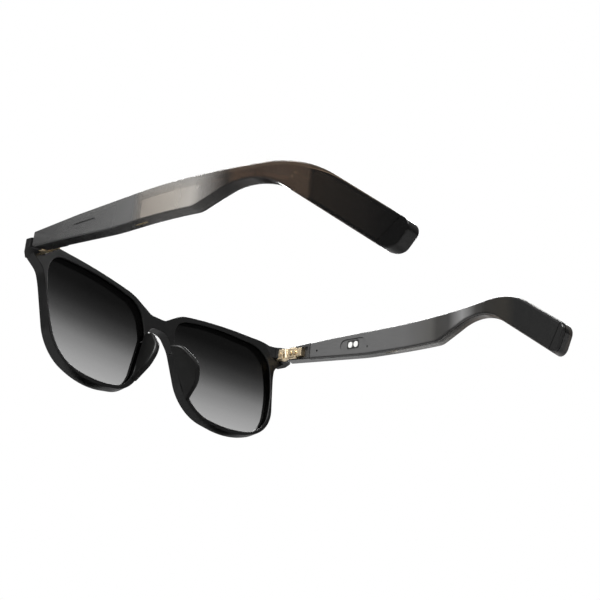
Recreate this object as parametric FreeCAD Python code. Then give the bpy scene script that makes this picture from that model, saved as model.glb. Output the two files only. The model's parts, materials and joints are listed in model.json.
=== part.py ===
import FreeCAD, Part
import os
from math import cos, degrees, radians, sin, sqrt, tan

# Smart glasses in millimetres. +X is the wearer's left, +Y runs back along the temples, +Z is up.
# Everything is designed around the hinge line (y = 0) and the lens centres (z = 0), and then moved
# so that the origin lies on the mid-plane, under the middle of the object, level with its lowest point.

V = FreeCAD.Vector
X_AXIS = V(1, 0, 0)
Y_AXIS = V(0, 1, 0)
Z_AXIS = V(0, 0, 1)

# ---- driving dimensions ----
tall = 120.0                # blocks used for cutting reach this far, past the whole object
slight_angle = 12.0         # faces that meet at less than this are left as they are, degrees
hair = 0.02                 # clearance of bonded and pressed-in pieces
nest = 0.1                  # clearance between a housing wall and the pieces inside
tilt = 11.8                 # pantoscopic tilt of the front, degrees
front_depth = 4.3           # thickness of the front
front_back = -8.2           # back face of the bridge, behind the hinge line
front_radius = 340.0        # wrap of the front, seen from above
front_rounding = 0.8        # fillet of the front's edges
end_rounding = 0.5          # fillet of the end pieces' edges
lens_thickness = 2.0
lens_setback = 0.7          # back face of the front to the back of a lens
groove_depth = 0.6          # how far a lens reaches into its rim
groove_play = 0.05

half_width = 73.0           # mid-plane to the outer face of a temple
temple_thickness = 5.7
temple_straight = 52.0      # straight part behind the hinge
bow_middle = 106.0          # stations of the bow, behind the hinge
bow_end = 160.0
temple_splay = 1.2          # it opens outwards by this angle, degrees
outer_bow = 180.0           # radius of the inward bow of the outer face
inner_bow = 174.5           # the same for the inner face, so the ear tip is a little thicker
wall = 1.1                  # housing wall
temple_rounding = 1.0
cover_rounding = 0.7
seam_play = 0.04            # gap where the cover meets the housing
cover_step = 0.15           # the cover stands this far inside the housing's outline
cover_thickness = 1.3       # inner cover of a temple
slit = 0.45                 # half of the gap between end piece and temple
mitre = 2.4                 # the gap runs this much further forward at the outer face

hinge_x = 66.7              # pivot, just inside the temple's inner face
hinge_z = 18.7
knuckle_radius = 1.45
knuckle_middle = 1.4        # the temple's knuckle
knuckle_end = 1.2           # each of the front's two knuckles
knuckle_gap = 0.06
knuckle_play = 0.12
past_all = 10.0             # local cuts reach this far to either side
leaf_in = 1.2               # leaves, measured inwards, outwards and along from the pivot
leaf_in_temple = 0.85
leaf_out = 2.1
leaf_clear = 1.0            # the leaves start this far from the pivot
leaf_length = 6.6           # end of the front leaf
boss_end = 5.6              # end of the temple leaf's thick part
foot_end = 8.6              # end of its thin foot
foot_step = 0.2             # the foot is this much slimmer
leaf_pocket = 11.0          # end of the temple's pocket
leaf_rise = 0.35            # the leaves reach this far past the knuckles
leaf_rounding = 0.35
leaf_play = 0.03
arm_in = 0.7                # arms between leaves and knuckles
arm_out = 0.9
rivet_places = (2.9, 5.0)   # from the pivot
rivet_radius = 0.5
rivet_head = 0.85
rivet_head_depth = 0.6
rivet_proud = 0.2           # heads stand this far above the leaf
head_radius = 1.05          # hinge screw
head_depth = 0.35
head_proud = 0.25
driver_slot = (4.0, 0.3, 0.4)
pin_radius = 0.6
pin_play = 0.04

cover_start = 12.0          # front edge of the inner cover
cavity_start = 13.4
tip_droop = 36.7            # slope of the ear tip, degrees
rib_places = (97.2, 99.3)   # stiffening ribs inside the neck
rib_width = 0.5
neck_low = 15.0
neck_high = 25.5

recess_y = 34.8             # charging recess in the inner face
contact_z = 18.6
recess_length = 12.8
recess_height = 5.2
recess_depth = 0.35
seat_size = (6.0, 3.7)
contact_size = (2.1, 2.6)
contact_pitch = 2.75
mic_y = 16.0                # small hole near the hinge
mic_z = 18.4
hole_radius = 0.45
light_y = 42.4              # dot behind the recess
light_z = 16.6
slot_y = 49.6               # sound slot in the underside
slot_length = 6.2
slot_width = 1.2
slot_floor = 13.3
voice_slot_y = 20.6         # thin slot in the outer face
voice_slot_length = 11.0
voice_slot_z = 19.2
voice_slot_width = 0.4
cell_start = 4.0            # battery cell, along the droop of the ear tip
cell_end = 28.3
cell_gap = 0.5              # between the cell and the housing
tip_seam = 29.6             # groove round the ear tip, where its end cap begins
seam_width = 0.35
seam_depth = 0.25
board_inset = 2.4           # inner face to the circuit board
board_thickness = 0.6
chip_height = 0.7
speaker_start = 53.5        # speaker box
speaker_end = 78.0
speaker_low = 14.5
speaker_high = 21.0

pad_thickness = 2.3         # nose pad
pad_slope = 18.7            # leans with the nose side of the rim, degrees
pad_splay = 3.0             # opens towards the back, degrees
pad_x = 10.1
pad_z = -3.4
pad_rounding = 1.05

# Half of the front's outline, from the middle of the bridge outwards and back under it:
# (x, z, corner radius), in the plane of the front.
front_half = [
    (3.8, 15.6, 5.0),
    (13.7, 21.4, 17.5),
    (33.5, 24.3, 150.0),
    (58.9, 23.0, 25.0),
    (70.1, 19.7, 1.5),
    (70.1, 14.4, 2.0),
    (64.7, 11.0, 5.4),
    (63.4, 6.4, 36.0),
    (59.8, -19.3, 16.0),
    (39.7, -26.0, 40.0),
    (13.0, -20.6, 18.0),
    (7.8, 4.2, 12.0),
    (4.0, 10.2, 4.0),
]

# Lens opening: (x, z, corner radius).
opening = [
    (9.9, 17.9, 9.4),
    (30.5, 22.2, 88.0),
    (61.6, 19.4, 10.8),
    (62.2, 0.0, 60.0),
    (56.5, -20.9, 15.2),
    (36.4, -23.5, 60.0),
    (17.3, -20.3, 15.4),
    (8.0, 4.8, 10.0),
]

# Side view of a temple: (y, z, corner radius), clockwise from the lower front corner.
temple_side = [
    (slit - mitre, 16.4, 0.6),
    (slit - mitre, 21.9, 0.6),
    (22.0, 23.1, 60.0),
    (114.3, 24.9, 34.0),
    (145.2, 1.6, 3.4),
    (140.0, -8.0, 3.4),
    (98.9, 22.9, 21.0),
    (77.0, 13.2, 7.0),
    (40.0, 13.4, 120.0),
]


# ---- helpers ----
def rounded_wire(corners, place):
    """Closed wire through the corners (a, b, radius), each rounded; place turns (a, b) into a point."""
    count = len(corners)
    joints = []
    for i in range(count):
        here = V(corners[i][0], corners[i][1], 0)
        before = (V(corners[i - 1][0], corners[i - 1][1], 0) - here)
        after = (V(corners[(i + 1) % count][0], corners[(i + 1) % count][1], 0) - here)
        before.normalize()
        after.normalize()
        half = before.getAngle(after) / 2.0
        reach = corners[i][2] / tan(half)
        middle = before + after
        middle.normalize()
        centre = here + middle * (corners[i][2] / sin(half))
        joints.append((here + before * reach, centre - middle * corners[i][2], here + after * reach))
    edges = []
    for i in range(count):
        start, mid, end = joints[i]
        next_start = joints[(i + 1) % count][0]
        edges.append(Part.Arc(place(start), place(mid), place(end)).toShape())
        if end.distanceToPoint(next_start) > 1e-4:
            edges.append(Part.makeLine(place(end), place(next_start)))
    return Part.Wire(Part.__sortEdges__(edges))


def upright(point):
    """A point of the front's own plane: across and up."""
    return V(point.x, 0, point.y)


def sideways(point):
    """A point of a side view: back and up."""
    return V(0, point.x, point.y)


def flat(point):
    """A point of a plan view."""
    return V(point.x, point.y, 0)


def plate(wire, direction):
    return Part.Face(wire).extrude(direction)


def offset_face(wire, distance):
    """Face inside a wire moved outwards by distance (inwards when negative)."""
    face = Part.Face(wire)
    if abs(distance) < 1e-6:
        return face
    return face.makeOffset2D(distance, 0, False, False, False)


def try_fillet(shape, radius, edges):
    """Fillet with the largest radius that the kernel accepts."""
    for factor in (1.0, 0.75, 0.5, 0.3):
        try:
            result = shape.makeFillet(radius * factor, edges)
            if result.isValid() and result.Volume > 0:
                return result
        except Exception:
            continue
    print("no fillet on", len(edges), "edges")
    return shape


def sharp_edges(shape):
    """Edges where two faces meet at more than a slight angle."""
    found = []
    for edge in shape.Edges:
        faces = shape.ancestorsOfType(edge, Part.Face)
        if len(faces) < 2:
            continue
        middle = edge.valueAt((edge.FirstParameter + edge.LastParameter) / 2.0)
        normals = [face.normalAt(*face.Surface.parameter(middle)) for face in faces[:2]]
        if degrees(normals[0].getAngle(normals[1])) > slight_angle:
            found.append(edge)
    return found


def mirrored(shape):
    return shape.mirror(V(0, 0, 0), X_AXIS)


def solid_of(shape):
    """The largest solid of a boolean result."""
    return max(shape.Solids, key=lambda s: s.Volume)


# ---- front ----
def front_outline():
    right = [(-x, z, r) for x, z, r in reversed(front_half)]
    return rounded_wire(front_half + right, upright)


def curved_layer(start, depth):
    """Tall shell between two coaxial cylinders: start and depth count forwards from the back face."""
    centre = V(0, front_back + front_radius, -tall / 2.0)
    outer = Part.makeCylinder(front_radius + start + depth, tall, centre, Z_AXIS)
    inner = Part.makeCylinder(front_radius + start, tall, centre, Z_AXIS)
    window = Part.makeBox(2 * tall, tall, tall, V(-tall, front_back - tall / 2.0, -tall / 2.0))
    return outer.common(window).cut(inner)


def cut_from(wire, start, depth, grow=0.0):
    """Solid with the outline of a wire, cut out of a curved layer of the front."""
    block = offset_face(wire, grow).extrude(V(0, tall, 0))
    block.translate(V(0, -tall / 2.0, 0))
    return block.common(curved_layer(start, depth))


def lean(shape):
    """Tilts a shape from the upright plane into the front's plane."""
    shape.rotate(V(0, front_back, 0), X_AXIS, tilt)
    return shape


def lens():
    wire = rounded_wire(opening, upright)
    return lean(cut_from(wire, lens_setback, lens_thickness, groove_depth))


def end_piece():
    """Wedge that turns back from the front's upper outer corner to the hinge (left side)."""
    inner = half_width - temple_thickness
    plan = [
        (61.0, -7.0, 0.5),
        (61.0, -12.0, 0.5),
        (69.9, -12.0, 0.5),
        (70.4, -8.0, 1.5),
        (half_width, -5.6, 1.5),
        (half_width, -mitre - slit, 0.4),
        (inner, -slit, 0.4),
        (64.6, -5.0, 2.0),
    ]
    side = [
        (-8.0, 13.9, 0.5),
        (-10.2, 24.2, 0.5),
        (3.0, 24.2, 0.5),
        (3.0, 16.4, 0.5),
        (-2.8, 16.4, 0.6),
    ]
    section = [
        (60.0, 17.2, 0.5),
        (60.0, 22.4, 0.5),
        (66.0, 22.0, 3.0),
        (70.8, 20.6, 3.0),
        (76.0, 19.0, 0.5),
        (76.0, 13.2, 0.5),
        (69.8, 13.2, 1.0),
        (67.2, 17.2, 1.0),
    ]
    body = plate(rounded_wire(plan, flat), V(0, 0, tall))
    body = body.common(plate(rounded_wire(side, sideways), V(tall, 0, 0)))
    across = plate(rounded_wire(section, upright), V(0, tall, 0))
    across.translate(V(0, -tall / 2.0, 0))
    wedge = solid_of(body.common(across)).removeSplitter()
    return try_fillet(wedge, end_rounding, sharp_edges(wedge))


def front_frame():
    base = cut_from(front_outline(), 0, front_depth)
    wire = rounded_wire(opening, upright)
    for hole in (wire, wire.mirror(V(0, 0, 0), X_AXIS)):
        base = base.cut(cut_from(hole, -front_depth, 3 * front_depth))
    base = solid_of(base)
    base = lean(try_fillet(base, front_rounding, base.Edges))
    ends = end_piece()
    base = solid_of(base.fuse(ends).fuse(mirrored(ends)))
    room = end_pocket()
    base = base.cut(room).cut(mirrored(room))
    groove = cut_from(wire, lens_setback - groove_play, lens_thickness + 2 * groove_play,
                      groove_depth + groove_play)
    groove = lean(groove)
    return solid_of(base.cut(groove).cut(mirrored(groove)))


# ---- nose pads ----
def nose_pad():
    """Fixed wing behind the left rim, seen from the side, that leans with the rim's nose side."""
    side = [
        (-2.0, 7.2, 0.5),
        (5.0, 4.6, 7.0),
        (11.3, -5.0, 8.0),
        (7.6, -12.2, 8.0),
        (-2.0, -19.0, 0.5),
    ]
    wing = plate(rounded_wire(side, sideways), V(pad_thickness, 0, 0))
    wing = try_fillet(wing, pad_rounding, wing.Edges)
    wing.translate(V(-pad_thickness / 2.0, 0, -pad_z))
    wing.rotate(V(0, 0, 0), Y_AXIS, -pad_slope)
    wing.rotate(V(0, 0, 0), Z_AXIS, -pad_splay)
    wing.translate(V(pad_x, front_back, pad_z))
    wing = wing.cut(curved_layer(-hair, 3 * front_depth))
    return lean(solid_of(wing))


# ---- hinge (left side), drawn round its own axis and then set into place ----
def to_hinge(shape):
    shape.rotate(V(0, 0, 0), X_AXIS, tilt)
    shape.translate(V(hinge_x, 0, hinge_z))
    return shape


def level(shape):
    """Turns a piece of the hinge's own frame so that it lies level with the temples."""
    shape.rotate(V(0, 0, 0), X_AXIS, -tilt)
    return shape


def hinge_block(low, high, grow=0.0):
    """Box between two corners of the hinge's own frame, grown on every side."""
    size = V(*high) - V(*low)
    corner = V(*low) - V(grow, grow, grow)
    return Part.makeBox(size.x + 2 * grow, size.y + 2 * grow, size.z + 2 * grow, corner)


def barrel(radius, low, high):
    return Part.makeCylinder(radius, high - low, V(0, 0, low), Z_AXIS)


half_knuckle = knuckle_middle / 2.0
half_stack = half_knuckle + knuckle_gap + knuckle_end
half_leaf = half_stack + leaf_rise


def hinge_front_leaf():
    block = hinge_block((-leaf_in, -leaf_length, -half_leaf), (leaf_out, -leaf_clear, half_leaf))
    block = level(try_fillet(block, leaf_rounding, block.Edges))
    gap = half_knuckle + knuckle_gap
    block = block.cut(barrel(knuckle_radius + knuckle_play, -gap, gap))
    knuckles = [
        barrel(knuckle_radius, -half_stack, -gap),
        barrel(knuckle_radius, gap, half_stack),
    ]
    arm_low = hinge_block((-arm_in, -2 * leaf_clear, -half_stack), (arm_out, 0, -gap))
    arm_high = hinge_block((-arm_in, -2 * leaf_clear, gap), (arm_out, 0, half_stack))
    leaf = block.fuse(knuckles + [arm_low, arm_high])
    leaf = leaf.cut(barrel(pin_radius + pin_play, -past_all, past_all))
    leaf = leaf.cut(barrel(head_radius + pin_play, half_stack - head_depth, past_all))
    for y in rivet_places:
        leaf = leaf.cut(level(rivet(-y, 0.0)))
    return to_hinge(solid_of(leaf))


def hinge_temple_leaf():
    boss = hinge_block((-leaf_in_temple, leaf_clear, -half_leaf), (leaf_out, boss_end, half_leaf))
    boss = try_fillet(boss, leaf_rounding, boss.Edges)
    foot = hinge_block((foot_step - leaf_in_temple, boss_end - foot_step, foot_step - half_stack),
                       (leaf_out, foot_end, half_stack - foot_step))
    foot = try_fillet(foot, leaf_rounding / 2.0, foot.Edges)
    leaf = level(boss.fuse(foot))
    leaf = leaf.cut(barrel(knuckle_radius + knuckle_play, half_knuckle, past_all))
    leaf = leaf.cut(barrel(knuckle_radius + knuckle_play, -past_all, -half_knuckle))
    arm = hinge_block((-arm_in, 0, -half_knuckle), (arm_out, 2 * leaf_clear, half_knuckle))
    leaf = leaf.fuse([barrel(knuckle_radius, -half_knuckle, half_knuckle), arm])
    leaf = leaf.cut(barrel(pin_radius + pin_play, -past_all, past_all))
    for y in rivet_places:
        leaf = leaf.cut(level(rivet(y, 0.0)))
    return to_hinge(solid_of(leaf))


def rivet(y, play):
    """Fastener across a leaf, with its head on the inner side."""
    start = V(-leaf_in - rivet_proud, y, 0)
    shank = Part.makeCylinder(rivet_radius - play, 2 * leaf_out + leaf_in, start, X_AXIS)
    head = Part.makeCylinder(rivet_head - play, rivet_head_depth, start, X_AXIS)
    return shank.fuse(head)


def hinge_rivets(side):
    """The two fasteners of a leaf; side is -1 in front of the pivot and 1 behind it."""
    return to_hinge(level(Part.makeCompound([rivet(side * y, hair) for y in rivet_places])))


def hinge_screw():
    shank = barrel(pin_radius, -half_stack + nest, half_stack - head_depth)
    head = barrel(head_radius, half_stack - head_depth, half_stack + head_proud)
    head = try_fillet(head, head_proud * 0.8, [head.Edges[0], head.Edges[2]])
    corner = V(-driver_slot[0] / 2.0, -driver_slot[1] / 2.0, half_stack)
    slot = Part.makeBox(driver_slot[0], driver_slot[1], driver_slot[2], corner)
    return to_hinge(solid_of(shank.fuse(head).cut(slot)))


def pocket(low, high, side):
    """Room for a leaf, the barrel and the two fasteners."""
    seat = level(hinge_block(low, high, leaf_play))
    room = half_stack + 2 * knuckle_play
    tools = [barrel(knuckle_radius + knuckle_play, -room, room)]
    tools += [level(rivet(side * y, 0.0)) for y in rivet_places]
    return seat.fuse(tools)


def end_pocket():
    """Room for the front leaf, cut into the end piece."""
    room = pocket((-leaf_in, -leaf_length, -half_leaf), (leaf_out, leaf_clear, half_leaf), -1)
    low = (-leaf_in, -2 * leaf_clear, -half_stack)
    arms = hinge_block(low, (leaf_clear, leaf_clear, half_stack), leaf_play)
    return to_hinge(room.fuse(arms))


def temple_pocket():
    """Room for the temple leaf, longer than the leaf so that a short recess is left behind it."""
    low = (-2 * leaf_out, -leaf_clear, -half_leaf)
    return to_hinge(pocket(low, (leaf_out, leaf_pocket, half_leaf), 1))


# ---- temple (left side) ----
def bowed_x(y, start_x, bow):
    """Across position of a face that starts at start_x, runs out at the splay and then bows inwards."""
    splay = radians(temple_splay)
    if y <= temple_straight:
        return start_x + y * tan(splay)
    centre_x = start_x + temple_straight * tan(splay) - bow * cos(splay)
    centre_y = temple_straight + bow * sin(splay)
    return centre_x + sqrt(bow ** 2 - (y - centre_y) ** 2)


def outer_x(y):
    """Outer face of the temple in plan."""
    return bowed_x(y, half_width, outer_bow)


def inner_x(y):
    """Inner face of the temple in plan."""
    return bowed_x(y, half_width - temple_thickness, inner_bow)


def outer_face(inset):
    """The outer face moved inwards, as a function of y."""
    return lambda y: outer_x(y) - inset


def inner_face(inset):
    """The inner face moved outwards, as a function of y."""
    return lambda y: inner_x(y) + inset


def bowed_layer(far, near):
    """Tall block between two bowed faces of the temple, far from and near to the head."""
    start = -temple_straight
    stations = (temple_straight, bow_middle, bow_end)
    outer = [V(far(y), y, 0) for y in stations]
    inner = [V(near(y), y, 0) for y in stations]
    outer_start = V(far(start), start, 0)
    inner_start = V(near(start), start, 0)
    edges = [
        Part.makeLine(outer_start, outer[0]),
        Part.Arc(*outer).toShape(),
        Part.makeLine(outer[2], inner[2]),
        Part.Arc(inner[2], inner[1], inner[0]).toShape(),
        Part.makeLine(inner[0], inner_start),
        Part.makeLine(inner_start, outer_start),
    ]
    block = plate(Part.Wire(edges), V(0, 0, tall))
    block.translate(V(0, 0, -tall / 2.0))
    return block


def side_plate(inset):
    """Side view of the temple, inset all round, as a wide block."""
    return offset_face(rounded_wire(temple_side, sideways), -inset).extrude(V(tall, 0, 0))


def bowed_piece(corners, far, near):
    """A piece with the side view given by its corners, following the bow of the temple."""
    return solid_of(plate(rounded_wire(corners, sideways), V(tall, 0, 0)).common(bowed_layer(far, near)))


def behind(y):
    """Everything behind a plane across the temple."""
    return Part.makeBox(tall, 2 * tall, tall, V(0, y, -tall / 2.0))


def along_tip(start, finish, below, above, radius=0.5):
    """Corners of a strip in the ear tip: distances along the droop and across it from the tip's axis."""
    along = V(cos(radians(tip_droop)), -sin(radians(tip_droop)), 0)
    across = V(-along.y, along.x, 0)
    root = V(115.2, 17.3, 0)
    corners = []
    for reach, side in ((start, below), (start, above), (finish, above), (finish, below)):
        point = root + along * reach + across * side
        corners.append((point.x, point.y, radius))
    return corners


def ahead_of_mitre():
    """Everything in front of the temple's slanted front end."""
    rise = mitre * tall / temple_thickness
    inner = half_width - temple_thickness
    corners = [
        V(inner - tall, slit + rise, -tall / 2.0),
        V(inner + tall, slit - rise, -tall / 2.0),
        V(inner + tall, slit - rise - tall, -tall / 2.0),
        V(inner - tall, slit - rise - tall, -tall / 2.0),
    ]
    return plate(Part.makePolygon(corners + corners[:1]), V(0, 0, tall))


def temple_body():
    whole = side_plate(0).common(bowed_layer(outer_face(0), inner_face(0)))
    whole = solid_of(whole.cut(ahead_of_mitre()))
    return try_fillet(whole, temple_rounding, whole.Edges)


def cavity():
    room = side_plate(wall).common(bowed_layer(outer_face(wall), inner_face(cover_thickness)))
    return solid_of(room.common(behind(cavity_start)))


def contact_recess():
    """Oval recess in the inner face, where a charging clip sits."""
    oval = stadium(recess_y, contact_z, recess_length, recess_height)
    return bowed_piece(oval, inner_face(recess_depth), inner_face(-1.0))


def stadium(y, z, length, height):
    r = min(length, height) / 2.0 - 0.01
    return [
        (y - length / 2.0, z - height / 2.0, r),
        (y - length / 2.0, z + height / 2.0, r),
        (y + length / 2.0, z + height / 2.0, r),
        (y + length / 2.0, z - height / 2.0, r),
    ]


def contact_wires():
    for side in (-1, 1):
        y = recess_y + side * contact_pitch / 2.0
        yield stadium(y, contact_z, contact_size[0] + hair, contact_size[1])


def small_hole(y, z, radius):
    """Hole through the inner cover."""
    return Part.makeCylinder(radius, 3 * cover_thickness, V(inner_x(y) - cover_thickness, y, z), X_AXIS)


def seat_outline(grow):
    length = seat_size[0] + 2 * grow
    height = seat_size[1] + 2 * grow
    return [
        (recess_y - length / 2.0, contact_z - height / 2.0, 0.8),
        (recess_y - length / 2.0, contact_z + height / 2.0, 0.8),
        (recess_y + length / 2.0, contact_z + height / 2.0, 0.8),
        (recess_y + length / 2.0, contact_z - height / 2.0, 0.8),
    ]


def tip_groove():
    """Shallow groove round the ear tip, all the way round both halves of the housing."""
    strip = along_tip(tip_seam, tip_seam + seam_width, -past_all, past_all, 0.05)
    band = plate(rounded_wire(strip, sideways), V(tall, 0, 0))
    core = side_plate(seam_depth).common(bowed_layer(outer_face(seam_depth), inner_face(seam_depth)))
    return band.cut(core)


def band_across(start, finish):
    """Corners of an upright band in the side view, taller than the neck."""
    return [
        (start, neck_low, 0.1),
        (start, neck_high, 0.1),
        (finish, neck_high, 0.1),
        (finish, neck_low, 0.1),
    ]


def temple_shell():
    lid = bowed_layer(inner_face(cover_thickness + seam_play), inner_face(-5.0))
    shell = temple_body().cut(lid.common(behind(cover_start - seam_play)))
    shell = shell.cut(cavity())
    shell = shell.cut(temple_pocket())
    slot_x = outer_x(slot_y) - 3 * slot_width
    sound_slot = Part.makeBox(slot_width, slot_length, 3 * wall, V(slot_x, slot_y, slot_floor - wall))
    voice_corner = V(half_width - 2 * wall, voice_slot_y, voice_slot_z)
    voice_slot = Part.makeBox(4 * wall, voice_slot_length, voice_slot_width, voice_corner)
    shell = shell.cut(sound_slot).cut(voice_slot)
    ribs = [bowed_piece(band_across(y, y + rib_width), outer_face(wall * 0.5), outer_face(2 * wall))
            for y in rib_places]
    limits = side_plate(wall * 0.5)
    shell = shell.fuse([rib.common(limits) for rib in ribs])
    return solid_of(shell.cut(tip_groove()))


def temple_cover():
    lid = side_plate(cover_step).common(bowed_layer(inner_face(cover_thickness), inner_face(0)))
    lid = solid_of(lid.common(behind(cover_start)))
    rim = [edge for edge in lid.Edges if lies_on_inner_face(edge)]
    lid = try_fillet(lid, cover_rounding, rim)
    lid = lid.cut(contact_recess())
    lid = lid.cut(bowed_piece(seat_outline(seam_play), inner_face(2 * cover_thickness), inner_face(-wall)))
    lid = lid.cut(small_hole(mic_y, mic_z, hole_radius))
    lid = lid.cut(small_hole(light_y, light_z, hole_radius))
    return solid_of(lid.cut(tip_groove()))


def lies_on_inner_face(edge):
    """True for an edge along the side that faces the head."""
    middle = edge.valueAt((edge.FirstParameter + edge.LastParameter) / 2.0)
    ends = [edge.valueAt(edge.FirstParameter), middle, edge.valueAt(edge.LastParameter)]
    return all(abs(point.x - inner_x(point.y)) < 0.05 for point in ends)


def charge_seat():
    back = inner_face(cover_thickness + 0.4)
    seat = bowed_piece(seat_outline(0), back, inner_face(recess_depth + nest / 2.0))
    for wire in contact_wires():
        seat = seat.cut(bowed_piece(wire, inner_face(2 * cover_thickness), inner_face(-wall)))
    return solid_of(seat)


def charge_contacts():
    pads = []
    for wire in contact_wires():
        face = offset_face(rounded_wire(wire, sideways), -hair).extrude(V(tall, 0, 0))
        layer = bowed_layer(inner_face(cover_thickness + 0.5), inner_face(recess_depth - nest))
        pads.append(solid_of(face.common(layer)))
    return Part.makeCompound(pads)


def main_board():
    outline = [
        (15.0, 17.6, 0.6),
        (15.0, 21.0, 0.6),
        (50.6, 21.9, 0.6),
        (50.6, 15.2, 0.6),
        (30.0, 16.0, 2.0),
    ]
    return bowed_piece(outline, inner_face(board_inset + board_thickness), inner_face(board_inset))


def board_chips():
    """Processor, radio, codec, memory and power parts on the outer side of the board."""
    places = [(17.0, 18.2, 3.4, 2.2), (22.2, 17.8, 4.2, 3.0), (28.4, 17.2, 3.0, 3.4),
              (33.2, 17.0, 5.0, 4.0), (40.0, 16.8, 3.2, 2.4), (45.0, 16.6, 4.0, 3.6)]
    chips = []
    for y, z, length, height in places:
        corners = [(y, z, 0.2), (y, z + height, 0.2), (y + length, z + height, 0.2), (y + length, z, 0.2)]
        foot = board_inset + board_thickness + hair
        chips.append(bowed_piece(corners, inner_face(foot + chip_height), inner_face(foot)))
    return Part.makeCompound(chips)


def microphone():
    corners = [(mic_y - 1.6, mic_z - 1.1, 0.3), (mic_y - 1.6, mic_z + 1.1, 0.3),
               (mic_y + 1.6, mic_z + 1.1, 0.3), (mic_y + 1.6, mic_z - 1.1, 0.3)]
    return bowed_piece(corners, inner_face(board_inset - nest / 2.0), inner_face(cover_thickness + nest))


def voice_microphone():
    y = voice_slot_y + voice_slot_length / 2.0
    corners = [(y - 2.0, 18.2, 0.3), (y - 2.0, 20.6, 0.3), (y + 2.0, 20.6, 0.3), (y + 2.0, 18.2, 0.3)]
    return bowed_piece(corners, outer_face(wall + nest), outer_face(wall + 0.8))


def status_light():
    """Light pipe that ends level with the recess's surroundings."""
    start = inner_x(light_y) + nest
    length = cover_thickness + 0.3
    return Part.makeCylinder(hole_radius - nest / 2.0, length, V(start, light_y, light_z), X_AXIS)


def touch_pad():
    corners = [(33.5, 15.6, 1.5), (33.5, 21.4, 1.5), (51.0, 21.8, 1.5), (51.0, 15.2, 1.5)]
    return bowed_piece(corners, outer_face(wall + nest / 2.0), outer_face(wall + 0.25))


def antenna():
    """Thin strip under the top edge, running the length of the board."""
    corners = [(16.0, 20.4, 0.1), (16.0, 21.2, 0.1), (60.0, 22.2, 0.1), (60.0, 21.5, 0.1)]
    return bowed_piece(corners, outer_face(wall + 0.3), outer_face(wall + 0.5))


def box_outline(inset):
    return [
        (speaker_start + inset, speaker_low + inset, 1.0),
        (speaker_start + inset, speaker_high - inset, 0.8),
        (speaker_end - inset, speaker_high + 0.3 - inset, 0.8),
        (speaker_end - inset, speaker_low + 1.0 + inset, 2.0),
        (speaker_end - 3.0 - inset, speaker_low + inset, 2.0),
    ]


def speaker_box():
    box = bowed_piece(box_outline(0), outer_face(wall + nest), inner_face(cover_thickness + nest))
    room = bowed_piece(box_outline(0.6), outer_face(wall + 0.6), inner_face(cover_thickness + 0.6))
    mouth_x = outer_x(slot_y) - 3 * slot_width - 2 * nest
    corner = V(mouth_x, slot_y, slot_floor)
    mouth = Part.makeBox(slot_width + 4 * nest, slot_length + wall, 3 * wall, corner)
    return solid_of(box.cut(room).cut(mouth))


def speaker_driver():
    """Racetrack driver that stands in the middle of the chamber."""
    y = (speaker_start + speaker_end) / 2.0 + 2.5
    z = (speaker_low + speaker_high) / 2.0 + 0.1
    return bowed_piece(stadium(y, z, 13.0, 4.8), outer_face(wall + 0.9), inner_face(cover_thickness + 0.75))


def speaker_mesh():
    """Fine metal screen just inside the sound slot."""
    z = slot_floor + wall * 0.35
    corner = V(outer_x(slot_y) - 3 * slot_width + hair, slot_y + hair, z)
    return Part.makeBox(slot_width - 2 * hair, slot_length - 2 * hair, 0.25, corner)


def flex_cable():
    """Ribbon from the board, over the speaker box and through the neck to the battery."""
    corners = [(49.3, 21.6, 0.2), (52.0, 22.2, 1.0), (98.0, 23.0, 12.0), (108.2, 19.9, 0.3),
               (107.6, 18.7, 0.3), (98.0, 22.1, 12.0), (52.5, 21.4, 1.0), (49.3, 20.8, 0.2)]
    return bowed_piece(corners, inner_face(board_inset + 0.85), inner_face(board_inset + 0.65))


def cable_clamp():
    """Dark grommet where the ribbon leaves the speaker's part of the housing."""
    corners = [(88.0, 20.2, 0.3), (88.0, 22.6, 0.3), (92.0, 22.6, 0.3), (92.0, 20.8, 0.3)]
    clamp = bowed_piece(corners, outer_face(wall + nest), inner_face(cover_thickness + nest))
    return solid_of(clamp.cut(flex_cable()))


def battery_board():
    corners = along_tip(-7.2, -1.0, -2.6, 0.7)
    return bowed_piece(corners, inner_face(board_inset + 1.2), inner_face(board_inset + 0.5))


def battery_sleeve():
    band = plate(rounded_wire(along_tip(0.0, tip_seam, -past_all, past_all), sideways), V(tall, 0, 0))
    inside = bowed_layer(outer_face(wall + nest), inner_face(cover_thickness + nest))
    sleeve = side_plate(wall + nest).common(inside)
    return solid_of(sleeve.common(band).cut(battery_room(0.0)))


def battery_room(inset):
    strip = along_tip(cell_start + inset, cell_end - inset, -4.0 + inset, 3.5 - inset)
    band = plate(rounded_wire(strip, sideways), V(tall, 0, 0))
    gap = cell_gap + inset
    return band.common(bowed_layer(outer_face(wall + gap), inner_face(cover_thickness + gap)))


def battery_cell():
    return solid_of(battery_room(nest))


# ---- assembly ----
def left_pieces():
    """Pieces made for the left side; the right side gets their mirror images."""
    return {
        "lens": lens(),
        "nose_pad": nose_pad(),
        "hinge_front_leaf": hinge_front_leaf(),
        "hinge_front_rivets": hinge_rivets(-1),
        "hinge_screw": hinge_screw(),
        "hinge_temple_leaf": hinge_temple_leaf(),
        "hinge_temple_screws": hinge_rivets(1),
        "temple_shell": temple_shell(),
        "temple_cover": temple_cover(),
        "charge_seat": charge_seat(),
        "charge_contacts": charge_contacts(),
        "main_board": main_board(),
        "board_chips": board_chips(),
        "microphone": microphone(),
        "voice_microphone": voice_microphone(),
        "status_light": status_light(),
        "touch_pad": touch_pad(),
        "antenna": antenna(),
        "speaker_box": speaker_box(),
        "speaker_driver": speaker_driver(),
        "speaker_mesh": speaker_mesh(),
        "flex_cable": flex_cable(),
        "cable_clamp": cable_clamp(),
        "battery_board": battery_board(),
        "battery_cell": battery_cell(),
        "battery_sleeve": battery_sleeve(),
    }


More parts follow.
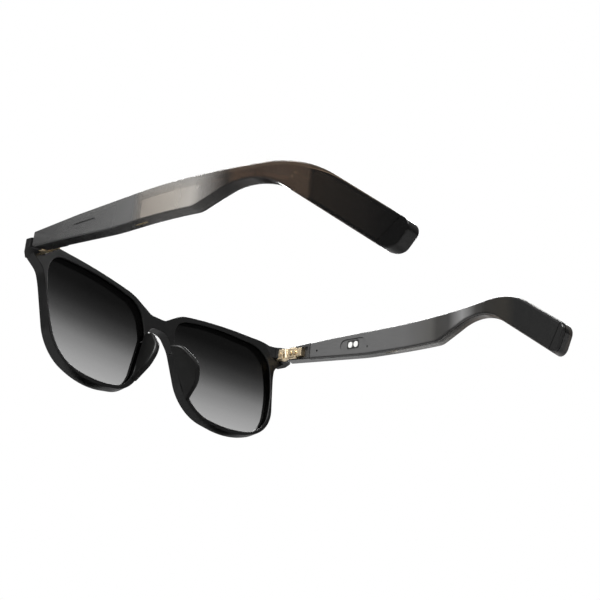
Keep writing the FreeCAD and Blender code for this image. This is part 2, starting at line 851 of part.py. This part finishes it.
def all_pieces():
    pieces = {}
    for name, shape in left_pieces().items():
        pieces[name + "_left"] = shape
        pieces[name + "_right"] = mirrored(shape)
    pieces["front_frame"] = front_frame()
    return pieces


def bottom_centre(shapes):
    """Middle of the bottom of the smallest upright box round all the shapes."""
    box = Part.makeCompound(shapes).optimalBoundingBox(False, False)
    return V(box.Center.x, box.Center.y, box.ZMin)


def export_all():
    os.makedirs("parts", exist_ok=True)
    pieces = all_pieces()
    origin = bottom_centre(list(pieces.values()))
    for name, shape in pieces.items():
        shape.translate(V(0, 0, 0) - V(0, origin.y, origin.z))
        shape.exportStep("parts/" + name + ".step")
    print("origin of the design frame, moved to the bottom centre:", origin)


export_all()
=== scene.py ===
import json
import math
import random

import bmesh
import bpy
from mathutils import Matrix, Vector
from mathutils.bvhtree import BVHTree


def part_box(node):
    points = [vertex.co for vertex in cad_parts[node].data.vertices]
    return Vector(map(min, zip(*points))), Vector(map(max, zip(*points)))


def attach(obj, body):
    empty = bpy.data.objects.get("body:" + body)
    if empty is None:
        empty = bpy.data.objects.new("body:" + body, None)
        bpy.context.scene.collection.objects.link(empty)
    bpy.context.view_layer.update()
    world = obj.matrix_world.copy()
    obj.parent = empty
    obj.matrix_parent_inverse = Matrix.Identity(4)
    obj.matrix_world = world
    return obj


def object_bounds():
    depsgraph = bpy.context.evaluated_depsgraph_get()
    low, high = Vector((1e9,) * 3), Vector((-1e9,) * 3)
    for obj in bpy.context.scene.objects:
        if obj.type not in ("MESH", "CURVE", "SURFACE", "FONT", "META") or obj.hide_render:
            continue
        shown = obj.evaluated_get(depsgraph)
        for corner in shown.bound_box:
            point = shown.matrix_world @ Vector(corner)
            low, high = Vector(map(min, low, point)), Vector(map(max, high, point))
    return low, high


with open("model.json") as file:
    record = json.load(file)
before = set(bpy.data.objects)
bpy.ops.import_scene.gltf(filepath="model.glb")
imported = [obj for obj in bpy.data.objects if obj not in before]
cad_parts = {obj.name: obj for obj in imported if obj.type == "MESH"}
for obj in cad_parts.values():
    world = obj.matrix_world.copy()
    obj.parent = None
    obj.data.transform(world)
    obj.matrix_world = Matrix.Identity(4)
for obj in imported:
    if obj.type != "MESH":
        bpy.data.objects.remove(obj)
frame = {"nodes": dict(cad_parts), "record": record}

CAD_LOW, CAD_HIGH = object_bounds()
MM = 0.001
SIDES = (("left", 1.0), ("right", -1.0))
JOINT_AT = {joint["name"]: Vector(joint["pos_m"]) for joint in frame["record"]["behaviour"]["joints"]}
HINGE = JOINT_AT["temple_left_fold"]
TEMPLE_REACH = 150.0 * MM    # tables of colours along a temple span this length behind the hinge


# ---- colours along a temple, and up a lens ----
def even(value):
    return (value, value, value)


def opaque(value):
    return (value, value, value, 1.0)


def shade(colour, share):
    return tuple(channel * share for channel in colour)


def at(distance, colour):
    """Ramp stop at a distance behind the hinge, in millimetres."""
    return (distance * MM / TEMPLE_REACH, colour)


LENS_TINT = (
    (0.0, even(0.66)),
    (0.18, even(0.57)),
    (0.36, even(0.44)),
    (0.52, even(0.25)),
    (0.68, even(0.13)),
    (0.84, even(0.07)),
)
# Housing and cover: light let through by each face, colour of the haze (with painted highlights and shade
# in it), and how much of the haze shows.
SHELL_TINT = (
    at(0, (0.26, 0.26, 0.255)),
    at(11, (0.28, 0.28, 0.275)),
    at(15, (0.54, 0.54, 0.52)),
    at(51, (0.54, 0.54, 0.52)),
    at(54, (0.94, 0.93, 0.91)),
    at(78, (0.94, 0.93, 0.91)),
    at(82, (0.70, 0.67, 0.64)),
    at(90, (0.50, 0.43, 0.36)),
    at(112, (0.55, 0.45, 0.35)),
    at(132, (0.45, 0.40, 0.35)),
    at(140, (0.16, 0.145, 0.13)),
)
SHELL_BODY = (
    at(0, even(0.10)),
    at(20, even(0.14)),
    at(40, even(0.20)),
    at(51, even(0.24)),
    # 54 to 86 mm: the haze turns pale over the speaker chamber as a painted sheen and highlight, brightest
    #              near its rear end
    at(54, (0.38, 0.35, 0.32)),
    at(68, (0.56, 0.53, 0.49)),
    at(76, (0.62, 0.60, 0.57)),
    at(82, (0.38, 0.365, 0.35)),
    at(86, (0.18, 0.165, 0.155)),
    at(89, (0.05, 0.045, 0.042)),
    at(92, (0.145, 0.092, 0.062)),
    at(98, (0.10, 0.064, 0.045)),
    at(112, (0.125, 0.084, 0.058)),
    at(116, (0.11, 0.078, 0.056)),
    at(117, even(0.018)),
)
SHELL_SHARE = (
    at(0, even(0.55)),
    at(50, even(0.55)),
    at(54, even(0.36)),
    at(80, even(0.42)),
    at(92, even(0.36)),
    at(116, even(0.36)),
    at(117, even(0.08)),
)
COVER_TINT = (
    at(0, (0.40, 0.40, 0.39)),
    at(78, (0.42, 0.41, 0.40)),
    at(90, (0.28, 0.25, 0.21)),
    at(112, (0.28, 0.24, 0.20)),
    at(130, (0.24, 0.22, 0.20)),
    at(140, (0.12, 0.11, 0.10)),
)
COVER_BODY = (
    at(0, even(0.165)),
    at(50, even(0.175)),
    at(60, even(0.17)),
    at(74, (0.12, 0.117, 0.112)),
    at(77, (0.065, 0.063, 0.06)),
    at(83, (0.065, 0.064, 0.063)),
    at(90, even(0.34)),          # painted highlight: a pale band across the neck
    # 97 mm on: darker towards the tip, partly the dark neck and tip themselves and partly painted shade
    #           where the cover turns away from the light
    at(97, (0.06, 0.058, 0.056)),
    at(102, (0.028, 0.026, 0.024)),
    at(112, (0.03, 0.027, 0.022)),
    at(118, (0.012, 0.012, 0.0118)),
)
COVER_SHARE = (
    at(0, even(0.80)),
    at(80, even(0.78)),
    at(95, even(0.82)),
    at(116, even(0.90)),
)
# speaker chamber colour: darker and warmer at the front, lighter towards the rear as a painted sheen
CHAMBER_TONE_AND_SHEEN = (
    at(53, (0.58, 0.51, 0.44)),
    at(64, (0.78, 0.71, 0.62)),
    at(74, (0.95, 0.90, 0.84)),
    at(78, (0.80, 0.78, 0.75)),
)


# ---- node helpers ----
class Graph:
    """A material's node tree with short ways to add and join nodes."""

    def __init__(self, name):
        self.material = bpy.data.materials.new(name)
        self.material.use_nodes = True
        self.tree = self.material.node_tree
        self.tree.nodes.clear()
        self.out = self.tree.nodes.new("ShaderNodeOutputMaterial")

    def add(self, kind, inputs=None, **settings):
        node = self.tree.nodes.new("ShaderNode" + kind)
        for key, value in settings.items():
            setattr(node, key, value)
        for key, value in (inputs or {}).items():
            self.put(node, key, value)
        return node

    def put(self, node, key, value):
        """Sets an input to a plain value, or joins it to a socket or to a node's first output."""
        socket = node.inputs[key]
        if isinstance(value, bpy.types.NodeSocket):
            self.tree.links.new(value, socket)
        elif isinstance(value, bpy.types.Node):
            self.tree.links.new(value.outputs[0], socket)
        else:
            socket.default_value = value

    def place(self):
        """Position in the frame, in metres."""
        return self.add("TexCoord").outputs["Object"]

    def component(self, vector, axis):
        return self.add("SeparateXYZ", {0: vector}).outputs[axis]

    def math(self, operation, first, second=0.0):
        return self.add("Math", {0: first, 1: second}, operation=operation).outputs[0]

    def mix(self, factor, first, second, blend="MIX"):
        colours = {"Fac": factor, "Color1": first, "Color2": second}
        return self.add("MixRGB", colours, blend_type=blend).outputs[0]

    def join(self, factor, first, second):
        """Mixes two shaders."""
        return self.add("MixShader", {0: factor, 1: first, 2: second})

    def remap(self, value, start, end, low=0.0, high=1.0):
        """Low at start and high at end, straight between them and level beyond."""
        limits = {"From Min": start, "From Max": end, "To Min": low, "To Max": high}
        return self.add("MapRange", {"Value": value, **limits}).outputs[0]

    def along(self, axis, low, high):
        """0 at low and 1 at high along an axis of the frame, in metres."""
        return self.remap(self.component(self.place(), axis), low, high)

    def noise(self, scale, detail=3.0, stretch=None):
        vector = self.place()
        if stretch:
            vector = self.add("Mapping", {"Vector": vector, "Scale": stretch}).outputs[0]
        return self.add("TexNoise", {"Vector": vector, "Scale": scale, "Detail": detail}).outputs[0]

    def spread(self, noise, low, high):
        """Stretches the middle half of a noise's range to low and high."""
        return self.remap(noise, 0.25, 0.75, low, high)

    def ramp(self, factor, *stops):
        """Colour ramp; each stop is (place, colour)."""
        node = self.add("ValToRGB", {0: factor})
        elements = node.color_ramp.elements
        while len(elements) < len(stops):
            elements.new(0.5)
        for element, (place, colour) in zip(elements, stops):
            element.position = place
            element.color = (*colour, 1.0)
        return node.outputs[0]

    def mottle(self, noise, dark, light):
        """Drifts between two colours with a noise."""
        return self.ramp(noise, (0.3, dark), (0.7, light))

    def bump(self, height, strength, distance=0.1 * MM):
        settings = {"Height": height, "Strength": strength, "Distance": distance}
        return self.add("Bump", settings).outputs[0]

    def outside(self):
        """1 on the outer side of a face and 0 on its inner side."""
        return self.math("SUBTRACT", 1.0, self.add("NewGeometry").outputs["Backfacing"])

    def principled(self, **inputs):
        return self.add("BsdfPrincipled", {key.replace("_", " "): value for key, value in inputs.items()})

    def surface(self, shader):
        self.put(self.out, "Surface", shader)
        return self.material


# ---- materials ----
BRUSH_STRETCH = (1.0, 1.0, 6.0)
WALL_SLOPE = (0.35, 0.85)    # upward part of a face's normal where the plastic's darkening, partly painted shade, starts and stops
THICK_WALL_SHADE = 0.28            # darkening of the top and bottom walls: partly the length of plastic seen through them, partly painted shade
LIT_THROUGH = 0.93           # share of the light that each face lets in to the pieces inside
SHELL_INDEX = 1.46           # refractive indices
LENS_INDEX = 1.3
SCREEN_WAVES = 14000.0       # radians per metre, so that the holes repeat every 0.45 mm


def moulded(name, colour, roughness, shine=0.5):
    """Solid moulded plastic: faint cloudiness, uneven polish and a fine skin."""
    graph = Graph(name)
    tone = graph.mottle(graph.noise(60.0), shade(colour, 0.8), shade(colour, 1.25))
    polish = graph.spread(graph.noise(250.0, 4.0), roughness * 0.8, roughness * 1.2)
    skin = graph.bump(graph.noise(900.0, 2.0), 0.05)
    return graph.surface(graph.principled(Base_Color=tone, Roughness=polish, Normal=skin,
                                          Specular_IOR_Level=shine))


def metal(name, colour, roughness, metallic=1.0):
    """Plated metal with fine brushing."""
    graph = Graph(name)
    brushed = graph.noise(1500.0, 3.0, BRUSH_STRETCH)
    tone = graph.mottle(graph.noise(180.0), shade(colour, 0.85), colour)
    polish = graph.spread(brushed, roughness * 0.75, roughness * 1.3)
    return graph.surface(graph.principled(Base_Color=tone, Metallic=metallic, Roughness=polish,
                                          Normal=graph.bump(brushed, 0.12, 0.02 * MM)))


def smoke(name, tint, body, share, roughness):
    """Translucent smoke plastic with a glossy skin, darker on its top and bottom walls, partly for the
    plastic seen through them and partly as painted shade. tint, body and share are stops along the temple."""
    graph = Graph(name)
    place = graph.along(1, HINGE.y, HINGE.y + TEMPLE_REACH)
    slope = graph.component(graph.add("NewGeometry").outputs["Normal"], 2)
    # top and bottom walls: see-through tint and haze both darkened, partly for their thickness and partly
    # as painted shade
    thick_and_shaded = graph.remap(graph.math("ABSOLUTE", slope), *WALL_SLOPE, 1.0, THICK_WALL_SHADE)

    seen = graph.mix(1.0, graph.ramp(place, *tint), thick_and_shaded, "MULTIPLY")
    ray = graph.add("LightPath").outputs
    lighting = graph.math("MAXIMUM", ray["Is Shadow Ray"], ray["Is Diffuse Ray"])
    clear = graph.add("BsdfTransparent", {"Color": graph.mix(lighting, seen, opaque(LIT_THROUGH))})

    skin = graph.bump(graph.noise(700.0, 2.0), 0.02)
    clouded = graph.mix(graph.spread(graph.noise(45.0), 0.0, 0.16), graph.ramp(place, *body), opaque(0.03))
    haze = graph.add("BsdfDiffuse", {"Color": graph.mix(1.0, clouded, thick_and_shaded, "MULTIPLY"), "Normal": skin})

    mirrored = graph.add("Fresnel", {"IOR": SHELL_INDEX, "Normal": skin})
    polish = graph.spread(graph.noise(260.0), roughness * 0.85, roughness * 1.15)
    gloss = graph.add("BsdfGlossy", {"Color": opaque(1.0), "Roughness": polish, "Normal": skin})
    plastic = graph.join(graph.ramp(place, *share), clear, haze)
    return graph.surface(graph.join(graph.math("MULTIPLY", mirrored, graph.outside()), plastic, gloss))


def gradient_lens(name):
    """Gradient tint, nearly opaque at the top and light grey at the bottom, with a soft sheen."""
    graph = Graph(name)
    low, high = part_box("lens_left")
    height = graph.math("ADD", graph.along(2, low.z, high.z),
                        graph.spread(graph.noise(14.0, 1.0), -0.008, 0.008))
    clear = graph.add("BsdfTransparent", {"Color": graph.ramp(height, *LENS_TINT)})
    sheen = graph.add("BsdfGlossy", {"Color": opaque(0.5), "Roughness": 0.32})
    mirrored = graph.math("MULTIPLY", graph.add("Fresnel", {"IOR": LENS_INDEX}), 0.5)
    return graph.surface(graph.join(graph.math("MULTIPLY", mirrored, graph.outside()), clear, sheen))


def circuit_board(name):
    """Solder mask with fine copper tracks."""
    graph = Graph(name)
    shape = {"Vector": graph.place(), "Scale": 900.0, "Distortion": 6.0, "Detail": 1.0}
    waves = graph.add("TexWave", shape).outputs[0]
    tracks = graph.ramp(waves, (0.47, (0.012, 0.035, 0.022)), (0.55, (0.05, 0.11, 0.06)))
    return graph.surface(graph.principled(Base_Color=tracks, Roughness=0.4,
                                          Normal=graph.bump(waves, 0.2, 0.03 * MM)))


def screen(name, colour):
    """Metal screen with a grid of fine holes."""
    graph = Graph(name)
    split = graph.add("SeparateXYZ", {0: graph.place()}).outputs
    rows = [graph.math("SINE", graph.math("MULTIPLY", split[axis], SCREEN_WAVES)) for axis in (0, 1)]
    grid = graph.math("MULTIPLY", *rows)
    tone = graph.ramp(grid, (0.1, colour), (0.5, shade(colour, 0.15)))
    return graph.surface(graph.principled(Base_Color=tone, Metallic=1.0, Roughness=0.35,
                                          Normal=graph.bump(grid, 0.5, 0.05 * MM)))


def speaker_chamber(name):
    """Pale moulded speaker chamber, warmer and darker at its front end and lighter towards the rear as a
    painted sheen.
    """
    graph = Graph(name)
    place = graph.math("ADD", graph.along(1, HINGE.y, HINGE.y + TEMPLE_REACH),
                       graph.spread(graph.noise(40.0), -0.004, 0.004))
    polish = graph.spread(graph.noise(300.0), 0.42, 0.55)
    return graph.surface(graph.principled(Base_Color=graph.ramp(place, *CHAMBER_TONE_AND_SHEEN), Roughness=polish,
                                          Normal=graph.bump(graph.noise(900.0, 2.0), 0.05)))


def all_materials():
    """One material for each material slot of the record."""
    return {
        "front_black": moulded("front_black", (0.0048, 0.0048, 0.005), 0.36, shine=0.4),
        "lens_gradient": gradient_lens("gradient_lens"),
        "pad_smoke": moulded("pad_smoke", (0.007, 0.007, 0.0068), 0.38, shine=0.28),
        "hinge_gold": metal("hinge_gold", (1.0, 0.82, 0.56), 0.34),
        "screw_gold": metal("screw_gold", (0.92, 0.74, 0.50), 0.34),
        "shell_smoke": smoke("shell_smoke", SHELL_TINT, SHELL_BODY, SHELL_SHARE, 0.16),
        "cover_smoke": smoke("cover_smoke", COVER_TINT, COVER_BODY, COVER_SHARE, 0.24),
        "seat_black": moulded("seat_black", even(0.006), 0.5),
        "contact_plate": metal("contact_plate", (1.0, 1.0, 0.98), 0.45, metallic=0.35),
        "board_green": circuit_board("board_green"),
        "chip_black": moulded("chip_black", (0.02, 0.02, 0.022), 0.5),
        "can_metal": metal("can_metal", even(0.7), 0.35),
        "light_pipe": moulded("light_pipe", even(0.05), 0.2),
        "film_grey": moulded("film_grey", (0.07, 0.07, 0.068), 0.45),
        "speaker_grey": speaker_chamber("speaker_grey"),
        "driver_metal": metal("driver_metal", even(0.5), 0.35),
        "mesh_gold": screen("mesh_gold", (0.95, 0.78, 0.50)),
        "flex_amber": moulded("flex_amber", (0.16, 0.09, 0.04), 0.35),
        "clamp_dark": moulded("clamp_dark", (0.02, 0.017, 0.014), 0.6),
        "cell_foil": metal("cell_foil", (0.62, 0.62, 0.64), 0.4),
        "sleeve_black": moulded("sleeve_black", even(0.006), 0.5),
    }


def dress_nodes(materials):
    slots = {row["node"]: row["material_slot"] for row in frame["record"]["subparts"]}
    for name, node in frame["nodes"].items():
        node.data.materials.clear()
        node.data.materials.append(materials[slots[name]])


# ---- small parts inside the temples ----
TUBE_STEPS = 6               # steps between two points of a wire's path
TUBE_SIDES = 12
RAY_START = 10.0 * MM        # rays start this far outside the object
PART_SEED = 7
PART_SIZE = (1.0 * MM, 0.5 * MM, 0.38 * MM)
PART_PITCH = (1.45 * MM, 0.86 * MM)
PART_ROOM = (0.8, 1.1)       # free board that a part needs to each side, in lengths and widths
PART_GAPS = 0.3              # share of places left empty
PART_BEVEL = 0.12            # of its height
BODY_LENGTH = 0.6            # body and tinned ends, as shares of a part's length
END_LENGTH = 0.24
END_OFFSET = 0.4
END_SWELL = 1.04             # the ends are this much wider and higher than the body
LEAD_OFFSET = 0.75 * MM      # half of the distance between the two leads
LEAD_RADIUS = 0.24 * MM
LEAD_LIFT = 1.1              # height of a lead's middle above the board, in radii
LEAD_PATH = (-1.6 * MM, -0.4 * MM, 0.8 * MM, 2.2 * MM, 3.6 * MM)     # from the board's middle
SOLDER_SIZE = (4, 3, 1.6)    # in radii of a lead
SOLDER_BEVEL = 0.5


def ray_target(node):
    """A CAD piece, ready for ray casts in the frame's coordinates."""
    mesh = bmesh.new()
    mesh.from_mesh(frame["nodes"][node].data)
    mesh.transform(frame["nodes"][node].matrix_world)
    tree = BVHTree.FromBMesh(mesh)
    mesh.free()
    return tree


def surface_point(tree, sign, y, z):
    """Point and outward normal of a piece's outer side, or None."""
    start = Vector((sign * (CAD_HIGH.x + RAY_START), y, z))
    place, normal = tree.ray_cast(start, Vector((-sign, 0, 0)))[:2]
    return (place, normal) if place else None


def brick(mesh, centre, axes, size, bevel):
    """Small bevelled block; axes are its three unit directions."""
    corners = bmesh.ops.create_cube(mesh, size=1.0)["verts"]
    edges = dict.fromkeys(edge for corner in corners for edge in corner.link_edges)
    for corner in corners:
        offset = [corner.co[i] * size[i] for i in range(3)]
        corner.co = centre + axes[0] * offset[0] + axes[1] * offset[1] + axes[2] * offset[2]
    bmesh.ops.bevel(mesh, geom=list(edges), offset=bevel, segments=2, affect="EDGES", profile=0.5)


def smooth_path(points):
    """Smooth curve through the points, as closely spaced points."""
    path = []
    last = len(points) - 1
    for i in range(last):
        before, start = points[max(i - 1, 0)], points[i]
        end, after = points[i + 1], points[min(i + 2, last)]
        speed = end - before
        bend = 2 * before - 5 * start + 4 * end - after
        twist = 3 * start - before - 3 * end + after
        for step in range(TUBE_STEPS):
            t = step / TUBE_STEPS
            path.append(0.5 * (2 * start + speed * t + bend * t ** 2 + twist * t ** 3))
    path.append(points[-1])
    return path


def tube(mesh, points, radius):
    """Round wire along a smooth path, closed at both ends."""
    path = smooth_path(points)
    turns = [2 * math.pi * k / TUBE_SIDES for k in range(TUBE_SIDES)]
    rings = []
    for i, point in enumerate(path):
        way = (path[min(i + 1, len(path) - 1)] - path[max(i - 1, 0)]).normalized()
        across = way.cross(Vector((1, 0, 0))).normalized()
        up = way.cross(across)
        spokes = [across * math.cos(turn) + up * math.sin(turn) for turn in turns]
        rings.append([mesh.verts.new(point + spoke * radius) for spoke in spokes])
    for near, far in zip(rings, rings[1:]):
        for k in range(TUBE_SIDES):
            following = (k + 1) % TUBE_SIDES
            mesh.faces.new((near[k], near[following], far[following], far[k]))
    mesh.faces.new(list(reversed(rings[0])))
    mesh.faces.new(rings[-1])


def make_piece(name, mesh, slot, materials, side):
    """Turns a bmesh into a piece that rides on a temple."""
    bmesh.ops.recalc_face_normals(mesh, faces=mesh.faces)
    data = bpy.data.meshes.new(name)
    mesh.to_mesh(data)
    mesh.free()
    data.materials.append(materials[slot])
    piece = bpy.data.objects.new(name, data)
    bpy.context.scene.collection.objects.link(piece)
    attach(piece, "temple_" + side)


def board_parts(side, sign, materials):
    """Capacitors and resistors between the chips: dark bodies with tinned ends, in uneven rows."""
    board = ray_target("main_board_" + side)
    chips = ray_target("board_chips_" + side)
    low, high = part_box("main_board_" + side)
    bodies = bmesh.new()
    ends = bmesh.new()
    pick = random.Random(PART_SEED)
    length, width, height = PART_SIZE
    columns = int((high.y - low.y) / PART_PITCH[0])
    rows = int((high.z - low.z) / PART_PITCH[1])
    for column in range(columns):
        for row in range(rows):
            skip = pick.random() < PART_GAPS
            y = low.y + (column + 0.5) * PART_PITCH[0]
            z = low.z + (row + 0.5) * PART_PITCH[1]
            room = [(y + i * length * PART_ROOM[0], z + j * width * PART_ROOM[1])
                    for i in (-1, 0, 1) for j in (-1, 0, 1)]
            on_board = all(surface_point(board, sign, *spot) for spot in room)
            on_chip = any(surface_point(chips, sign, *spot) for spot in room)
            if skip or on_chip or not on_board:
                continue
            place, normal = surface_point(board, sign, y, z)
            forward = normal.cross(Vector((0, 0, 1))).normalized()
            axes = (forward, normal.cross(forward), normal)
            middle = place + normal * height * 0.5
            bevel = height * PART_BEVEL
            brick(bodies, middle, axes, (length * BODY_LENGTH, width, height), bevel)
            end_size = (length * END_LENGTH, width * END_SWELL, height * END_SWELL)
            for end in (-1, 1):
                brick(ends, middle + forward * end * length * END_OFFSET, axes, end_size, bevel)
    make_piece("board_part_bodies_" + side, bodies, "chip_black", materials, side)
    make_piece("board_part_ends_" + side, ends, "can_metal", materials, side)


def lead_points(board, sign, root, way):
    """Path of a lead: on the board's face as far as the board reaches, then straight on."""
    points = []
    last = LEAD_PATH[0]
    for reach in LEAD_PATH:
        spot = root + way * reach
        found = surface_point(board, sign, spot.y, spot.z)
        if found:
            place, normal = found
            points.append(place + normal * LEAD_RADIUS * LEAD_LIFT)
        else:
            points.append(points[-1] + way * (reach - last))
        last = reach
    return points


def battery_leads(side, sign, materials):
    """Two insulated wires from the protection board towards the cell, with solder at their roots."""
    board = ray_target("battery_board_" + side)
    low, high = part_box("battery_board_" + side)
    cell_low, cell_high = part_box("battery_cell_" + side)
    centre = (low + high) / 2
    way = (cell_low + cell_high) / 2 - centre
    way = Vector((0, way.y, way.z)).normalized()
    across = Vector((0, -way.z, way.y))
    axes = (way, across, Vector((sign, 0, 0)))
    solder_size = [LEAD_RADIUS * size for size in SOLDER_SIZE]
    solder = bmesh.new()
    for name, slot, offset in (("plus", "flex_amber", LEAD_OFFSET), ("minus", "clamp_dark", -LEAD_OFFSET)):
        points = lead_points(board, sign, centre + across * offset, way)
        lead = bmesh.new()
        tube(lead, points, LEAD_RADIUS)
        make_piece("battery_lead_" + name + "_" + side, lead, slot, materials, side)
        brick(solder, points[0] - way * LEAD_RADIUS, axes, solder_size, LEAD_RADIUS * SOLDER_BEVEL)
    make_piece("battery_solder_" + side, solder, "can_metal", materials, side)


# ---- stage ----
FLOOR_REACH = 3.0
FLOOR_DROP = 0.5 * MM        # keeps the floor just clear of the lowest point
FLOOR_FADE = (0.16, 0.32)    # the floor fades out between these distances from the origin
FLOOR_BOUNCE = 0.32          # how pale the floor is to everything but the camera
ROOM_LIGHT = (0.14, 0.30)    # brightness of the room near the horizon and overhead
SOFTBOXES = (
    # name, direction from the object, distance, size, power
    ("side", (0.60, -0.25, 0.76), 0.80, (0.45, 0.35), 8.5),
    ("top", (-0.68, -0.52, 0.55), 0.80, (0.55, 0.40), 7.0),
    ("back", (0.15, 0.75, 0.65), 0.90, (0.40, 0.30), 1.5),
)
CAMERA_AZIMUTH = 130.6       # degrees
CAMERA_ELEVATION = -20.81
CAMERA_ROLL = 4.88
CAMERA_DISTANCE = 0.4628
CAMERA_AIM = Vector((-0.09066, 0.0416, 0.00323))     # from the left hinge to the point looked at
CAMERA_LENS = 71.17          # millimetres, on a sensor 36 mm wide
CAMERA_SENSOR = 36.0
CAMERA_CLIP = (0.01, 20.0)


def floor_material():
    """Pale floor that is seen only from above, so that the low camera looks straight through it. It fades
    into the white surroundings away from the object."""
    graph = Graph("floor_pale")
    seen = graph.add("LightPath").outputs["Is Camera Ray"]
    tone = graph.mottle(graph.noise(3.0), even(0.86), even(0.9))
    pale = graph.add("BsdfDiffuse", {"Color": graph.mix(seen, opaque(FLOOR_BOUNCE), tone)})
    distance = graph.add("VectorMath", {0: graph.place()}, operation="LENGTH").outputs["Value"]
    faded = graph.math("MULTIPLY", graph.remap(distance, *FLOOR_FADE), seen)
    underside = graph.add("NewGeometry").outputs["Backfacing"]
    gone = graph.math("MAXIMUM", underside, faded)
    return graph.surface(graph.join(gone, pale, graph.add("BsdfTransparent")))


def make_floor():
    mesh = bpy.data.meshes.new("floor")
    level = CAD_LOW.z - FLOOR_DROP
    signs = ((-1, -1), (1, -1), (1, 1), (-1, 1))
    mesh.from_pydata([(x * FLOOR_REACH, y * FLOOR_REACH, level) for x, y in signs], [], [(0, 1, 2, 3)])
    mesh.materials.append(floor_material())
    floor = bpy.data.objects.new("floor", mesh)
    bpy.context.scene.collection.objects.link(floor)


def make_world():
    """White to the camera; to everything else a dim room, a little brighter overhead."""
    world = bpy.data.worlds.new("studio")
    bpy.context.scene.world = world
    world.use_nodes = True
    tree = world.node_tree
    tree.nodes.clear()

    def add(kind, *inputs):
        node = tree.nodes.new("ShaderNode" + kind)
        for socket, value in zip(node.inputs, inputs):
            if isinstance(value, bpy.types.NodeSocket):
                tree.links.new(value, socket)
            else:
                socket.default_value = value
        return node

    upwards = add("SeparateXYZ", add("TexCoord").outputs["Generated"]).outputs[2]
    rise = add("MapRange", upwards, 0.1, 1.0, *ROOM_LIGHT).outputs[0]
    room = add("Background", opaque(1.0), rise).outputs[0]
    seen = add("Background", opaque(1.0), 1.0).outputs[0]
    mix = add("MixShader", add("LightPath").outputs["Is Camera Ray"], room, seen)
    add("OutputWorld", mix.outputs[0])


def make_lights():
    """Softboxes around the object, all turned to its middle and hidden from the camera."""
    centre = (CAD_LOW + CAD_HIGH) / 2
    for name, direction, distance, size, power in SOFTBOXES:
        light = bpy.data.lights.new(name, "AREA")
        light.shape = "RECTANGLE"
        light.size, light.size_y = size
        light.energy = power
        lamp = bpy.data.objects.new(name, light)
        way = Vector(direction).normalized()
        lamp.location = centre + way * distance
        lamp.rotation_mode = "QUATERNION"
        lamp.rotation_quaternion = (-way).to_track_quat("-Z", "Y")
        lamp.visible_camera = False
        bpy.context.scene.collection.objects.link(lamp)


def make_camera():
    """Low behind the wearer's left, slightly rolled, with a short telephoto lens."""
    azimuth = math.radians(CAMERA_AZIMUTH)
    elevation = math.radians(CAMERA_ELEVATION)
    roll = math.radians(CAMERA_ROLL)
    back = Vector((math.sin(azimuth) * math.cos(elevation), -math.cos(azimuth) * math.cos(elevation),
                   math.sin(elevation)))
    right = (-back).cross(Vector((0, 0, 1))).normalized()
    up = right.cross(-back).normalized()
    rolled_right = right * math.cos(roll) + up * math.sin(roll)
    rolled_up = -right * math.sin(roll) + up * math.cos(roll)
    turn = Matrix((rolled_right, rolled_up, back)).transposed().to_4x4()

    lens = bpy.data.cameras.new("camera")
    lens.sensor_width = CAMERA_SENSOR
    lens.lens = CAMERA_LENS
    lens.clip_start, lens.clip_end = CAMERA_CLIP
    camera = bpy.data.objects.new("camera", lens)
    camera.matrix_world = Matrix.Translation(HINGE + CAMERA_AIM + back * CAMERA_DISTANCE) @ turn
    bpy.context.scene.collection.objects.link(camera)
    bpy.context.scene.camera = camera
    bpy.context.scene.view_settings.view_transform = "Standard"


materials = all_materials()
dress_nodes(materials)
for side, sign in SIDES:
    board_parts(side, sign, materials)
    battery_leads(side, sign, materials)
make_floor()
make_world()
make_lights()
make_camera()
